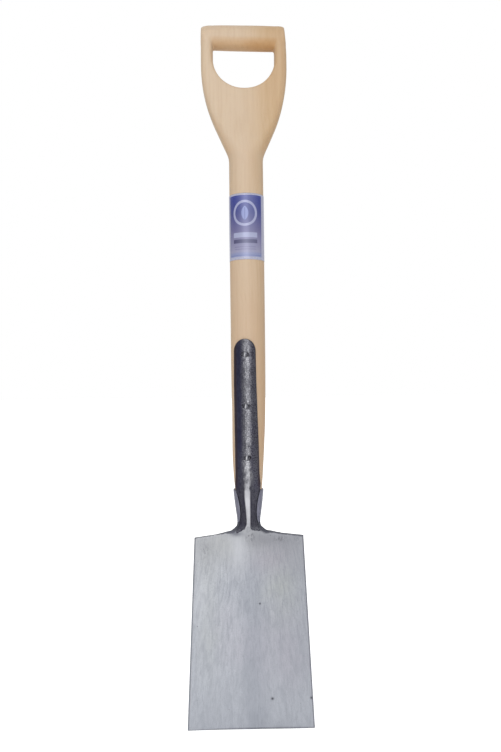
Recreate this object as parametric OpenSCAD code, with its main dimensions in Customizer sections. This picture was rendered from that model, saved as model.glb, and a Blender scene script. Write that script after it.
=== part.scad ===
// Garden spade with a one-piece wooden D-grip handle held between two forged straps.
// Millimetres. +Z runs up the shaft's centre line and the spade's front faces -Y.
// The origin is on that centre line, level with the cutting edge.

/* [Blade] */
// Width of the blade across its shoulders
blade_top_w = 155; // [140:1:170]
// Width of the blade at its cutting edge
blade_edge_w = 179; // [170:1:200]
// Height of the shoulder corners above the cutting edge
blade_h = 268; // [240:1:290]
// Height of the neck's root, where the shoulders meet it
neck_root_z = 283; // [280:1:286]
// Thickness of the plate just below the neck
plate_top_t = 3; // [2.4:0.1:4]
// Thickness of the plate above the ground edge
plate_low_t = 1.8; // [1.4:0.1:2.4]
// Thickness left at the cutting edge
edge_t = 0.9; // [0.6:0.1:1.2]
// Height of the ground bevel behind the cutting edge
bevel_h = 7; // [4:1:12]
// Radius of the hollow from side to side
dish_r = 1150; // [800:10:2000]
// Forward slope of the blade in degrees
blade_lift = 2.6; // [0:0.1:5]
// Length of the forged swell below the neck
swell_l = 118; // [80:1:150]

/* [Straps] */
// Height of the straps' round tips
strap_tip_z = 545; // [535:1:560]
// Thickness of the straps
strap_t = 2.8; // [2:0.1:3.5]
// Width of a strap at its tip
strap_tip_w = 30.4; // [26:0.1:32]
// Width of a strap where it is widest, above the socket
strap_low_w = 34.4; // [30:0.1:36]
// Sideways lean of the front strap's tip
strap_lean = 4.9; // [0:0.1:6]
// Thickness of the socket's cheeks
cheek_t = 1.6; // [1:0.1:2.4]
// Height of the cheeks' upper ends
cheek_top_z = 338; // [330:1:345]

/* [Rivets] */
// Height of the lower rivet
lower_rivet_z = 381; // [372:1:390]
// Spacing of the three rivets along the shaft
rivet_pitch = 72; // [66:1:73]
// Diameter of the rivets' shanks
rivet_d = 6; // [5:0.5:7]
// Diameter of the rivets' heads
rivet_head_d = 9; // [8:0.5:11]

/* [Shaft] */
// Diameter of the shaft
shaft_d = 49.4; // [44:0.2:50]
// Diameter of the shaft at the top of the socket
socket_d = 40.8; // [39:0.2:42]
// Height where the shaft starts to taper
taper_z = 475; // [460:1:490]
// Height where the wedge starts, front and back
wedge_z = 385; // [370:1:400]

/* [Grip] */
// Overall height of the spade
total_h = 992; // [980:1:1010]
// Width across the grip
grip_w = 121.4; // [118:0.2:126]
// Diameter of the grip's crossbar
bar_d = 34; // [30:0.5:36]
// Width of the hand opening
opening_w = 87; // [80:1:90]
// Angle of the fan's straight sides to the shaft
fan_angle = 23.9; // [20:0.1:25]
// Diameter of the pin through the crossbar
pin_d = 6; // [5:0.5:8]

/* [Label] */
// Height of the label's lower edge
label_z = 657; // [640:1:680]
// Height of the label
label_h = 92; // [80:1:100]
// Thickness of the label's foil
label_t = 0.2; // [0.1:0.05:0.4]
// Angle that the label wraps round the shaft
label_wrap = 300; // [240:1:330]

/* [Hidden] */
$fn = 96;
far = 400;
gap = 0.05;

shaft_r = shaft_d / 2;
socket_r = socket_d / 2;
socket_mouth_z = cheek_top_z + 7;
wood_end_z = 298;
wood_end_r = 15.2;
joint_z = neck_root_z + 5;
neck_half_w = 16.4;
neck_half_d = 7.6;

bar_r = bar_d / 2;
bar_z = total_h - bar_r;
bar_corner_r = 5;
opening_r = opening_w / 2;
opening_z = total_h - 50;
opening_chamfer = 5;
fan_face_r = 300;
fan_start_z = 932;
fan_r = 215;
fan_root_r = 36;
fan_top_z = bar_z + 8;
tongue_z = shaft_top_z() + 90;
tongue_r = bar_r - 1.5;
bevel_face_y = bar_r - 2.4;

strap_tip_r = strap_tip_w / 2;
strap_bend_z = 355;
strap_mouth_w = strap_low_w - 3;
strap_waist_w = 22.4;
strap_waist_z = cheek_top_z - 41;
strap_foot_w = 25;
rivet_z = [for (i = [0:2]) lower_rivet_z + i * rivet_pitch];
head_sink = 1.2;
head_rise = 0.7;
head_bore_h = 8;

shoulder_slope = 6.5;
shoulder_end_x = 45;
fillet_end_x = 17;
fillet_end_slope = 36;

// Outline helpers --------------------------------------------------------------

// Points on an arc, from angle a0 to angle a1
function arc(c, r, a0, a1, n = 12) =
    [for (i = [0:n]) let (a = a0 + (a1 - a0) * i / n) c + r * [cos(a), sin(a)]];

// A right-hand outline and its mirror image, as one closed list of points
function both_sides(half) =
    concat(half, [for (i = [len(half) - 1:-1:0]) [-half[i].x, half[i].y]]);

// Draws an outline given as [x, z] points, as thick as asked along Y
module front_view(thick) {
    rotate([90, 0, 0])
        linear_extrude(height = thick, center = true)
            children();
}

// Draws an outline given as [y, z] points, as wide as asked along X
module side_view(wide) {
    rotate([90, 0, 90])
        linear_extrude(height = wide, center = true)
            children();
}

// Handle -----------------------------------------------------------------------

// Where the fan's straight side starts and ends, as [half width, height]
function fan_side_top() =
    [grip_w / 2 - fan_r * (1 - cos(fan_angle)), fan_start_z - fan_r * sin(fan_angle)];
function fan_side_low() =
    let (x = shaft_r + fan_root_r * (1 - cos(fan_angle)), top = fan_side_top())
        [x, top.y - (top.x - x) / tan(fan_angle)];

// Height where the fan's sides run out into the shaft
function shaft_top_z() = fan_side_low().y - fan_root_r * sin(fan_angle);

// Half width of the wooden shaft at a height
function wood_r(z) =
    z > taper_z ? shaft_r
    : z > socket_mouth_z
        ? lookup(z, [[socket_mouth_z, socket_r], [taper_z, shaft_r]])
        : lookup(z, [[wood_end_z, wood_end_r], [socket_mouth_z, socket_r]]);

// Half depth of the planed wedge at a height
function wedge_y(z) =
    lookup(z, [[joint_z, neck_half_d - strap_t], [wedge_z, wood_r(wedge_z)]]);

// The shaft's lower end between two heights, grown sideways by side and front and back by face
module shaft_end(side, face, low_z, high_z) {
    root_z = joint_z - 10;
    top_z = strap_tip_z + 10;
    intersection() {
        rotate_extrude()
            polygon(concat(
                [[0, root_z]],
                [for (z = [root_z, wood_end_z, socket_mouth_z, taper_z, top_z]) [wood_r(z) + side, z]],
                [[0, top_z]]
            ));
        side_view(far)
            polygon(both_sides([
                [wedge_y(root_z) + face, root_z],
                [wedge_y(joint_z) + face, joint_z],
                [wedge_y(wedge_z) + face, wedge_z],
                [shaft_r + face + 1, wedge_z + 30],
                [shaft_r + face + 1, top_z]
            ]));
        translate([-far / 2, -far / 2, low_z]) cube([far, far, high_z - low_z]);
    }
}

// Grip and fan seen from the front, without the hand opening
module fan_outline() {
    root_z = shaft_top_z();
    fan_c = [grip_w / 2 - fan_r, fan_start_z];
    root_c = [shaft_r + fan_root_r, root_z];
    polygon(both_sides(concat(
        [[shaft_r - 6, root_z - 25]],
        arc(root_c, fan_root_r, 180, 180 - fan_angle, 6),
        arc(fan_c, fan_r, -fan_angle, 0, 12),
        [[grip_w / 2, fan_top_z]]
    )));
}

// Hand opening seen from the front: straight sides over a half circle
module opening_outline() {
    translate([0, opening_z]) circle(r = opening_r);
    translate([-opening_r, opening_z]) square([opening_w, bar_z - opening_z]);
}

// Sloping edge round the hand opening, on the front (side = -1) or the back (side = 1)
module opening_bevel(side) {
    translate([0, side * bevel_face_y, opening_z])
        rotate([side * 90, 0, 0])
            cylinder(
                h = 2 * opening_chamfer, center = true,
                r1 = opening_r + opening_chamfer, r2 = opening_r - opening_chamfer
            );
}

module fan() {
    intersection() {
        front_view(far) fan_outline();
        translate([0, fan_face_r - bar_r, 0]) cylinder(r = fan_face_r, h = 2 * total_h, $fn = 200);
        translate([0, bar_r - fan_face_r, 0]) cylinder(r = fan_face_r, h = 2 * total_h, $fn = 200);
    }
}

// Round part of the shaft that fades into the fan's two faces
module tongue() {
    rotate_extrude()
        polygon([
            [0, taper_z - 10], [shaft_r, taper_z - 10], [shaft_r, shaft_top_z()],
            [tongue_r, tongue_z], [0, tongue_z]
        ]);
}

module crossbar() {
    half = grip_w / 2 - bar_corner_r;
    translate([0, 0, bar_z])
        rotate([0, 90, 0])
            rotate_extrude()
                intersection() {
                    union() {
                        for (s = [-1, 1])
                            translate([bar_r - bar_corner_r, s * half]) circle(r = bar_corner_r);
                        translate([0, -half]) square([bar_r, 2 * half]);
                        translate([0, -grip_w / 2]) square([bar_r - bar_corner_r, grip_w]);
                    }
                    translate([0, -grip_w]) square([grip_w, 2 * grip_w]);
                }
}

module handle() {
    color("burlywood")
        difference() {
            union() {
                shaft_end(0, 0, wood_end_z, taper_z);
                difference() {
                    union() {
                        tongue();
                        fan();
                    }
                    front_view(far) opening_outline();
                    opening_bevel(-1);
                    opening_bevel(1);
                }
                crossbar();
            }
            for (i = [0:2]) rivet_bore(i);
            translate([0, 0, bar_z]) rotate([0, 90, 0]) cylinder(d = pin_d + gap, h = far, center = true);
        }
}

module grip_pin() {
    color("gray")
        translate([0, 0, bar_z])
            rotate([0, 90, 0])
                cylinder(d = pin_d, h = grip_w, center = true);
}

// Straps -----------------------------------------------------------------------

// Sideways place of the front strap's centre line at a height
function strap_x(z) = lookup(z, [[joint_z, -0.5], [cheek_top_z, -1], [strap_tip_z, -strap_lean]]);

// Strap seen from the front: a round tip, slightly widening sides and a waist at the socket.
// lean is 1 for a strap that leans as the front one does, and 0 for a straight one.
// grow widens it all round.
module strap_outline(lean, grow = 0) {
    tip_z = strap_tip_z - strap_tip_r;
    side = [
        [strap_low_w, strap_bend_z],
        [strap_mouth_w, cheek_top_z],
        [strap_waist_w + 1.8, strap_waist_z + 14],
        [strap_waist_w, strap_waist_z],
        [strap_foot_w, joint_z]
    ];
    right = [for (p = side) [lean * strap_x(p.y) + p.x / 2 + grow, p.y]];
    left = [for (i = [len(side) - 1:-1:0]) let (p = side[i]) [lean * strap_x(p.y) - p.x / 2 - grow, p.y]];
    polygon(concat(arc([lean * strap_x(tip_z), tip_z], strap_tip_r + grow, 180, 0, 24), right, left));
}

// Space that the wooden shaft and a little clearance take up inside the steel
module shaft_space() {
    shaft_end(gap, gap, wood_end_z - gap, strap_tip_z + 1);
}

// Everything in front of (side = -1) or behind (side = 1) the shaft's centre plane. The back half
// starts a little behind that plane, so that the two straps never touch.
module half_space(side) {
    translate([-far / 2, side > 0 ? gap : -far, 0]) cube([far, far, total_h]);
}

module front_strap() {
    color("dimgray")
        difference() {
            intersection() {
                shaft_end(strap_t, strap_t, joint_z + gap, strap_tip_z);
                front_view(far) strap_outline(1);
                half_space(-1);
            }
            shaft_space();
            for (i = [0:2]) rivet_bore(i);
        }
}

// The socket's cheeks wrap forward from the rear strap and stop at the front strap's edges
module socket() {
    difference() {
        shaft_end(cheek_t, strap_t - 0.3, joint_z + gap, cheek_top_z);
        translate([0, -far / 2 + gap, 0]) front_view(far) strap_outline(1, 0.1);
    }
}

module rear_strap() {
    color("dimgray")
        difference() {
            union() {
                intersection() {
                    shaft_end(strap_t, strap_t, joint_z + 2, strap_tip_z);
                    front_view(far) strap_outline(0);
                    half_space(1);
                }
                socket();
            }
            shaft_space();
            for (i = [0:2]) rivet_bore(i);
        }
}

// Rivets -----------------------------------------------------------------------

// Sideways place of a rivet, between the centre lines of the leaning and the straight strap
function rivet_x(i) = strap_x(rivet_z[i]) / 2 - 1;

// Distance from the centre line to the straps' outer face at a rivet
function strap_face(i) = sqrt(pow(wood_r(rivet_z[i]) + strap_t, 2) - pow(rivet_x(i), 2));

module rivet_bore(i) {
    face = strap_face(i);
    translate([rivet_x(i), 0, rivet_z[i]])
        rotate([90, 0, 0]) {
            cylinder(d = rivet_d + gap, h = far, center = true);
            for (s = [-1, 1])
                translate([0, 0, s * (face - head_sink + head_bore_h / 2)])
                    cylinder(d = rivet_head_d + gap, h = head_bore_h, center = true);
        }
}

module rivet(i) {
    face = strap_face(i);
    head_r = rivet_head_d / 2;
    dome_r = (head_r * head_r + head_rise * head_rise) / (2 * head_rise);
    color("slategray")
        translate([rivet_x(i), 0, rivet_z[i]])
            rotate([90, 0, 0]) {
                cylinder(d = rivet_d, h = 2 * (face - head_sink / 2), center = true);
                for (s = [-1, 1])
                    intersection() {
                        translate([0, 0, s * (face + head_rise - dome_r)]) sphere(r = dome_r);
                        translate([0, 0, s * (face - head_sink + head_r / 2)])
                            cylinder(r = head_r, h = head_r, center = true);
                    }
            }
}

module upper_rivet() rivet(2);
module middle_rivet() rivet(1);
module lower_rivet() rivet(0);

// Blade ------------------------------------------------------------------------

// Blade seen from the front: flared sides, sloping shoulders and a fillet up to the neck
module blade_outline() {
    fillet_r = (shoulder_end_x - fillet_end_x) / (sin(fillet_end_slope) - sin(shoulder_slope));
    fillet_x = fillet_end_x + fillet_r * sin(fillet_end_slope);
    fillet_z = neck_root_z + fillet_r * cos(fillet_end_slope);
    below = 5;
    flare = (blade_edge_w - blade_top_w) / 2 / blade_h;
    polygon(both_sides(concat(
        [[blade_edge_w / 2 + below * flare, -below], [blade_top_w / 2, blade_h]],
        arc([fillet_x, fillet_z], fillet_r, 270 - shoulder_slope, 270 - fillet_end_slope, 10),
        [[neck_half_w, joint_z]]
    )));
}

// Everything in front of a hollow surface that passes [0, y, z] and slopes forward by angle
module front_of(y, z, angle) {
    half = 1.1 * blade_edge_w / 2;
    strips = 13;
    translate([0, y, z])
        rotate([-angle, 0, 0])
            linear_extrude(height = 2 * far, center = true)
                polygon(concat(
                    [for (i = [-strips:strips]) let (x = half * i / strips)
                        [x, sqrt(dish_r * dish_r - x * x) - dish_r]],
                    [[half, -far / 4], [-half, -far / 4]]
                ));
}

module plate() {
    thinning = atan((plate_top_t - plate_low_t) / neck_root_z);
    bevel_angle = atan((plate_low_t - edge_t) / bevel_h);
    back_low_y = plate_top_t / 2 - (neck_root_z - bevel_h) * tan(blade_lift);
    difference() {
        intersection() {
            front_of(plate_top_t / 2, neck_root_z, blade_lift);
            front_of(back_low_y, bevel_h, blade_lift + bevel_angle);
        }
        front_of(-plate_top_t / 2, neck_root_z, blade_lift - thinning);
    }
}

// Lens-shaped ridge that carries the neck down into the plate, front and back
module swell() {
    top = [neck_half_w, neck_half_d];
    axis_y = (top.x * top.x / top.y - top.y) / 2;
    low_half_t = 1.1;
    translate([0, 0, neck_root_z])
        rotate([-blade_lift, 0, 0])
            intersection_for (s = [-1, 1])
                translate([0, s * axis_y, -swell_l])
                    cylinder(r1 = axis_y + low_half_t, r2 = axis_y + top.y, h = swell_l + 8);
}

module blade() {
    color("lightsteelblue")
        intersection() {
            union() {
                intersection() {
                    plate();
                    front_view(far) blade_outline();
                }
                swell();
            }
            translate([-far / 2, -far / 2, 0]) cube([far, far, joint_z]);
        }
}

// Label ------------------------------------------------------------------------

module label() {
    inner = shaft_r + gap / 2;
    color("mediumslateblue")
        translate([0, 0, label_z])
            rotate([0, 0, 270 - label_wrap / 2])
                rotate_extrude(angle = label_wrap)
                    translate([inner, 0]) square([label_t, label_h]);
}

handle();
grip_pin();
blade();
front_strap();
rear_strap();
upper_rivet();
middle_rivet();
lower_rivet();
label();
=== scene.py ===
"""Garden spade: the finished look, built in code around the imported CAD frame.

Shapes are in millimetres in the CAD frame (+Z up the shaft, front towards -Y) until a mesh is
made. Driving sizes come from the CAD nodes' own boxes.
"""

import math

import bpy
import numpy as np
from mathutils import Euler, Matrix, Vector


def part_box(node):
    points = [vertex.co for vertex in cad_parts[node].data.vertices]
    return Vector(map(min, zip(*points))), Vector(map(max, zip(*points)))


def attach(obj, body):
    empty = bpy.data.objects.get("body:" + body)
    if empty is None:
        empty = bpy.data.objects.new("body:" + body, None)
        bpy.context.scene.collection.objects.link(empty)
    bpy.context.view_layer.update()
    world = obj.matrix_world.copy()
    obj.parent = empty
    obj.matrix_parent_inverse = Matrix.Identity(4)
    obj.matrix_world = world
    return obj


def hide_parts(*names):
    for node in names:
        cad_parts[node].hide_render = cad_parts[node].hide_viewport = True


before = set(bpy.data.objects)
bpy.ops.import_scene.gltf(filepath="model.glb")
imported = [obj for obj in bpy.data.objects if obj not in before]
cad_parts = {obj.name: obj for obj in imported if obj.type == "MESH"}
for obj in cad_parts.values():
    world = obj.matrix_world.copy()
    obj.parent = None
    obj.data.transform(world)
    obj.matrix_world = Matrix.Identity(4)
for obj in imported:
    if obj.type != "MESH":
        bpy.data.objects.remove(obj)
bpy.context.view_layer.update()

MM = 0.001
BODY = "root"

# Spacing of the points of the sculpted meshes, in millimetres
HANDLE_STEP = 1.5
STRAP_STEP = 0.8


def cad_box(node):
    """Lowest and highest corner of a CAD node, in millimetres."""
    lo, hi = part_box(node)
    return np.array(lo) / MM, np.array(hi) / MM


# ---- Driving sizes, in millimetres ----

HANDLE_LO, HANDLE_HI = cad_box("handle")
BLADE_LO, BLADE_HI = cad_box("blade")
STRAP_LO, STRAP_HI = cad_box("front_strap")
CHEEK_LO, CHEEK_HI = cad_box("rear_strap")
LABEL_LO, LABEL_HI = cad_box("label")

TOTAL_H = HANDLE_HI[2]
SHAFT_R = HANDLE_HI[1]
WOOD_END_Z = HANDLE_LO[2]
JOINT_Z = BLADE_HI[2]
STRAP_TIP_Z = STRAP_HI[2]

# Grip
GRIP_HALF_W = HANDLE_HI[0]
BAR_R = 17.0
BAR_Z = TOTAL_H - BAR_R
OPENING_R = 43.5
OPENING_Z = TOTAL_H - 50.0
FAN_START_Z = 932.0
FAN_ARC_R = 215.0
FAN_ANGLE = math.radians(23.9)
FAN_ROOT_R = 36.0
ARM_HALF_D = 15.6
EDGE_ROUND = 9.0

# Shaft's tapered end
TAPER_Z = 475.0
SOCKET_MOUTH_Z = 345.0
SOCKET_R = 20.1
WOOD_R = SHAFT_R - 0.3
BOW = 1.7
WOOD_END_R = 15.2
WEDGE_Z = 385.0
WEDGE_D = 22.0
WEDGE_END_D = 4.8
HIDDEN_SINK = 4.0

# Straps
STRAP_T = 2.8
STRAP_TIP_R = 15.2
STRAP_BEND_Z = 355.0
STRAP_LOW_HALF_W = 17.2
STRAP_FOOT_Z = 272.0
STRAP_LEAN = 3.6
# The height at which a strap's foot runs out into the blade, from left to right
FOOT_X = [-18.0, -13.0, -5.0, -1.2, 1.5, 4.5, 12.0, 18.0]
FOOT_Z = [271.4, 273.6, 278.4, 283.0, 280.2, 276.4, 275.4, 274.4]
CHEEK_TOP_Z = 338.0

# Blade
NECK_ROOT_Z = 283.0
SHOULDER_Z = 268.0
BLADE_TOP_HALF_W = 77.5
BLADE_EDGE_HALF_W = BLADE_HI[0]
DISH_R = 1150.0
LIFT = math.tan(math.radians(2.6))
PLATE_TOP_T = 3.0
PLATE_LOW_T = 1.8
EDGE_T = 0.9
BEVEL_H = 7.0
NECK_HALF_W = 16.4


# ---- Small numeric helpers ----


def smooth(x, x0, x1):
    """0 below x0, 1 above x1, and a smooth step between them."""
    t = np.clip((x - x0) / (x1 - x0), 0.0, 1.0)
    return t * t * (3.0 - 2.0 * t)


def mix(a, b, t):
    return a + (b - a) * t


def soft_max(a, b, k):
    """Larger of two distances, with the edge between them rounded over about k."""
    h = np.maximum(k - np.abs(a - b), 0.0) / k
    return np.maximum(a, b) + h * h * k * 0.25


def soft_min(a, b, k):
    return -soft_max(-a, -b, k)


def ripples(x, y, z, seed, waves=7, length=30.0):
    """A smooth, repeatable wobble between about -1 and 1, for hand-worked surfaces."""
    rng = np.random.default_rng(seed)
    total = 0.0
    for _ in range(waves):
        direction = rng.normal(size=3)
        direction *= 2.0 * math.pi / (length * rng.uniform(0.6, 1.8)) / np.linalg.norm(direction)
        phase = rng.uniform(0.0, 2.0 * math.pi)
        total = total + np.sin(direction[0] * x + direction[1] * y + direction[2] * z + phase)
    return total / waves * 1.6


# ---- Meshes ----


def add_object(name, data):
    obj = bpy.data.objects.new(name, data)
    bpy.context.scene.collection.objects.link(obj)
    return obj


def make_object(name, points, faces):
    """A smooth-shaded mesh object from millimetre points."""
    mesh = bpy.data.meshes.new(name)
    mesh.from_pydata((np.asarray(points) * MM).tolist(), [], np.asarray(faces).tolist())
    mesh.validate()
    mesh.polygons.foreach_set("use_smooth", [True] * len(mesh.polygons))
    mesh.update()
    return add_object(name, mesh)


def gradient(field, p, h):
    """Central-difference gradient of a field at points p."""
    g = np.empty_like(p)
    for axis in range(3):
        q = p.copy()
        q[:, axis] += h
        ahead = field(*q.T)
        q[:, axis] -= 2.0 * h
        g[:, axis] = (ahead - field(*q.T)) / (2.0 * h)
    return g


def onto_surface(field, p, step, rounds=3):
    """Moves points along the gradient until the field is zero there."""
    for _ in range(rounds):
        g = gradient(field, p, step * 0.1)
        shift = (field(*p.T) / np.maximum((g * g).sum(1), 1e-3))[:, None] * g
        reach = np.linalg.norm(shift, axis=1, keepdims=True)
        p = p - shift * np.minimum(1.0, 0.6 * step / np.maximum(reach, 1e-9))
    return p


def relaxed(p, faces):
    """Each point moved halfway to the average of its neighbours across the faces."""
    total = np.zeros_like(p)
    count = np.zeros(len(p))
    for i in range(4):
        for j in (i - 1, (i + 1) % 4):
            np.add.at(total, faces[:, i], p[faces[:, j]])
            np.add.at(count, faces[:, i], 1.0)
    return mix(p, total / count[:, None], 0.5)


def net_mesh(field, lo, hi, step, relax=2):
    """Quad mesh of the surface where a field changes sign, with its points put exactly on it."""
    axes = [np.arange(a, b + step, step) for a, b in zip(lo, hi)]
    values = field(*np.meshgrid(*axes, indexing="ij"))
    inside = values < 0.0
    cells = tuple(n - 1 for n in values.shape)
    corner = {}
    for c in np.ndindex(2, 2, 2):
        corner[c] = tuple(slice(o, o + n) for o, n in zip(c, cells))
    filled = sum(inside[s].astype(np.int8) for s in corner.values())
    active = (filled > 0) & (filled < 8)
    index = -np.ones(cells, np.int64)
    index[active] = np.arange(active.sum())

    place = np.zeros(cells + (3,))
    hits = np.zeros(cells)
    for axis in range(3):
        for c in corner:
            if c[axis]:
                continue
            d = tuple(1 if a == axis else v for a, v in enumerate(c))
            f0, f1 = values[corner[c]], values[corner[d]]
            crossing = (f0 < 0.0) != (f1 < 0.0)
            t = np.where(crossing, f0 / np.where(crossing, f0 - f1, 1.0), 0.0)
            for a in range(3):
                place[..., a] += crossing * (t if a == axis else c[a])
            hits += crossing
    cell = np.argwhere(active)
    origin = np.array([axes[a][0] for a in range(3)])
    p = origin + (cell + place[active] / hits[active][:, None]) * step

    faces = []
    for axis in range(3):
        b, c = (axis + 1) % 3, (axis + 2) % 3
        window = [slice(1, -1)] * 3
        window[axis] = slice(0, -1)
        ahead = list(window)
        ahead[axis] = slice(1, None)
        here, there = inside[tuple(window)], inside[tuple(ahead)]
        at = np.argwhere(here != there)
        leaving = here[tuple(at.T)]
        at = at + [0 if a == axis else 1 for a in range(3)]
        ring = []
        for ob, oc in ((1, 1), (0, 1), (0, 0), (1, 0)):
            q = at.copy()
            q[:, b] -= ob
            q[:, c] -= oc
            ring.append(index[tuple(q.T)])
        quad = np.stack(ring, 1)
        quad[~leaving] = quad[~leaving][:, ::-1]
        faces.append(quad)
    faces = np.concatenate(faces)

    p = onto_surface(field, p, step)
    for _ in range(relax):
        p = onto_surface(field, relaxed(p, faces), step, 2)
    return p, faces


def grid_faces(rows, columns, start=0):
    """Quads of a grid of points stored row by row."""
    r, c = np.meshgrid(np.arange(rows - 1), np.arange(columns - 1), indexing="ij")
    a = (start + r * columns + c).ravel()
    return np.stack([a, a + 1, a + columns + 1, a + columns], 1)


def grid_rim(rows, columns):
    """Point numbers round the border of such a grid, in order."""
    grid = np.arange(rows * columns).reshape(rows, columns)
    return np.concatenate([grid[0, :-1], grid[:-1, -1], grid[-1, :0:-1], grid[:0:-1, 0]])


def band_faces(a, b):
    """Quads between two closed loops of point numbers."""
    return np.stack([np.roll(a, -1), a, b, np.roll(b, -1)], 1)


# ---- Handle ----

FAN_SIDE_TOP = (GRIP_HALF_W - FAN_ARC_R * (1 - math.cos(FAN_ANGLE)), FAN_START_Z - FAN_ARC_R * math.sin(FAN_ANGLE))
FAN_ROOT_X = WOOD_R + FAN_ROOT_R * (1 - math.cos(FAN_ANGLE))
FAN_ROOT_TOP_Z = FAN_SIDE_TOP[1] - (FAN_SIDE_TOP[0] - FAN_ROOT_X) / math.tan(FAN_ANGLE)
SHAFT_TOP_Z = FAN_ROOT_TOP_Z - FAN_ROOT_R * math.sin(FAN_ANGLE)


def bow(z):
    """Sideways drift of the shaft's centre line between straps and grip."""
    return BOW * smooth(z, 360.0, 455.0) * smooth(z, 925.0, 835.0)


def wood_radius(z):
    """Half width of the shaft: a long taper, then a steeper one inside the socket."""
    def straight(h):
        return np.interp(
            h,
            [WOOD_END_Z, SOCKET_MOUTH_Z, WEDGE_Z - 5.0, WEDGE_Z + 35.0, TAPER_Z, TAPER_Z + 40.0],
            [WOOD_END_R, SOCKET_R, 22.3, 23.3, 24.1, WOOD_R],
        )
    return (straight(z - 9.0) + straight(z) + straight(z + 9.0)) / 3.0


def wedge_half_depth(z):
    """Half depth of the planed end, front and back."""
    return np.interp(z, [JOINT_Z, WEDGE_Z, WEDGE_Z + 30.0], [WEDGE_END_D, WEDGE_D, SHAFT_R + 4.0])


def sunk_under_steel(z):
    """How much thinner the wood is where the socket hides it."""
    return HIDDEN_SINK * smooth(z, CHEEK_TOP_Z + 2.0, CHEEK_TOP_Z - 14.0)


def grip_half_width(z):
    """Half width of grip, fan and shaft seen from the front."""
    arc = GRIP_HALF_W - FAN_ARC_R + np.sqrt(
        np.maximum(FAN_ARC_R**2 - np.clip(FAN_START_Z - z, 0.0, FAN_ARC_R) ** 2, 0.0)
    )
    side = FAN_SIDE_TOP[0] - (FAN_SIDE_TOP[1] - z) * math.tan(FAN_ANGLE)
    root = WOOD_R + FAN_ROOT_R - np.sqrt(
        np.maximum(FAN_ROOT_R**2 - np.clip(z - SHAFT_TOP_Z, 0.0, FAN_ROOT_R) ** 2, 0.0)
    )
    w = np.where(z > FAN_SIDE_TOP[1], arc, np.where(z > FAN_ROOT_TOP_Z, side, root))
    w = np.where(z < SHAFT_TOP_Z, wood_radius(z), w)
    return w - 0.3 * smooth(z, 700.0, 760.0)


def grip_taper(x, z):
    """How much the grip's upper corners lean in; the right one leans more."""
    return np.where(x > 0.0, 2.9, 0.7) * smooth(z, 945.0, TOTAL_H)


def handle_field(x, y, z):
    """The one-piece wooden handle, from the crossbar down to the planed end."""
    x = x - bow(z)
    half_w = grip_half_width(z) - grip_taper(x, z)
    in_fan = smooth(z, SHAFT_TOP_Z - 14.0, SHAFT_TOP_Z + 84.0)
    half_d = mix(np.minimum(half_w, WOOD_R), ARM_HALF_D, in_fan)
    half_d = mix(half_d, BAR_R - 1.5, smooth(z, 915.0, BAR_Z))
    over = np.clip((z - BAR_Z) / BAR_R, 0.0, 1.0)
    half_d = half_d * np.sqrt(1.0 - 0.96 * over * over)
    corner = mix(half_d, EDGE_ROUND, smooth(z, SHAFT_TOP_Z - 6.0, SHAFT_TOP_Z + 88.0))
    depth = np.abs(y)
    qx = np.abs(x) - (half_w - corner)
    qy = depth - (half_d - corner)
    body = np.hypot(np.maximum(qx, 0.0), np.maximum(qy, 0.0)) + np.minimum(np.maximum(qx, qy), 0.0) - corner
    body = body * 0.95

    squareness = 2.1
    sag = np.maximum(OPENING_Z - z, 0.0) / (OPENING_R - 1.0)
    rounded = (np.abs(x) / OPENING_R) ** squareness + sag**squareness
    opening = OPENING_R * (rounded ** (1.0 / squareness) - 1.0)
    lip = mix(4.0, EDGE_ROUND, smooth(z, 918.0, 950.0))
    body = soft_max(body, -opening, lip)
    bar_r = BAR_R - 0.1 - 1.1 * (np.abs(x) / GRIP_HALF_W) ** 4 + 0.008 * x
    bar = np.hypot(y, z - (BAR_Z - 0.5 - 0.014 * x)) - bar_r
    bar = soft_max(bar, np.abs(x) - (half_w - 0.2), 5.0)
    body = soft_min(body, bar, 2.0)
    out = np.minimum(np.abs(x) / GRIP_HALF_W, 1.0)
    drop = np.where(x < 0.0, 3.8 * out**5, 2.9 * out**1.6) * smooth(z, BAR_Z - 10.0, BAR_Z + 6.0)
    clear_below = 14.0 * smooth(z, BAR_Z - 2.0, BAR_Z - 30.0)
    cap = np.hypot(y, np.maximum(z - BAR_Z, 0.0)) - (BAR_R + 0.6 - drop + clear_below)
    body = soft_max(body, cap, 2.0)

    body = soft_max(body, np.abs(y) - wedge_half_depth(z) + sunk_under_steel(z), 2.0)
    body = soft_max(body, WOOD_END_Z - z, 1.5)
    worked = 0.1 * ripples(x, y, z * 0.5, seed=3, length=34.0)
    return body - np.where(z > 560.0, worked, 0.0) + 0.05


def build_handle():
    return make_object("ash_handle", *net_mesh(handle_field, HANDLE_LO - 3.0, HANDLE_HI + 3.0, HANDLE_STEP))


# ---- Forged steel: surfaces shared by the straps, the socket and the blade's neck ----


def blade_middle(x, z):
    """Y of the blade's middle surface: hollow from side to side and sloping forward."""
    return -(NECK_ROOT_Z - z) * LIFT + np.sqrt(DISH_R**2 - x * x) - DISH_R


def plate_half_t(z):
    return 0.5 * np.interp(z, [0.0, NECK_ROOT_Z], [PLATE_LOW_T, PLATE_TOP_T])


def crown_depth(z):
    """Distance of the forging's crown in front of the shaft's centre plane, above the neck's root."""
    wedge = wedge_half_depth(z) - np.maximum(JOINT_Z - z, 0.0) * 0.2
    return soft_min(wood_radius(z), wedge, 2.0) + STRAP_T


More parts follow.
